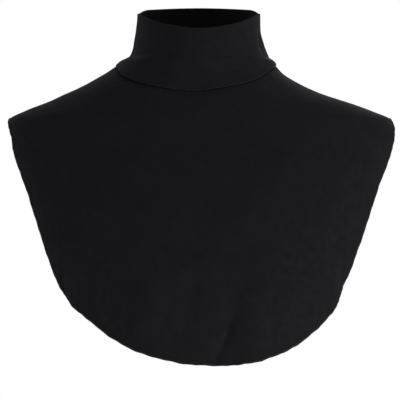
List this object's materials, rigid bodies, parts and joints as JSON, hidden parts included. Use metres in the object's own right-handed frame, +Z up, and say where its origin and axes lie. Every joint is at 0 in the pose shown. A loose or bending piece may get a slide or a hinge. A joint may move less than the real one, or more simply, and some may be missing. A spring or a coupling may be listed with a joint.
{
  "type": "turtleneck dickey",
  "caption": "False turtleneck of soft jersey: a standing collar sewn to a rounded front and back bib, worn under other clothes in place of a whole top.",
  "frame": {"origin": "middle of the neck opening, on the neck's axis, level with the ends of the neck seam on top of the shoulders", "axes": "+X towards the wearer's left, which is the viewer's right from the front; +Y towards the wearer's back, so the front faces -Y; +Z up the neck"},
  "size_m": [0.3842, 0.2079, 0.355],
  "materials": {
    "collar_jersey": "matt black fine-knit jersey, two layers thick",
    "bib_jersey": "matt black fine-knit jersey, one layer",
    "overlock_thread": "matt black overlocked edge"
  },
  "bodies": {
    "root": {"collar": "collar_jersey", "front_bib": "bib_jersey", "back_bib": "bib_jersey", "front_hem": "overlock_thread", "back_hem": "overlock_thread"}
  },
  "joints": []
}
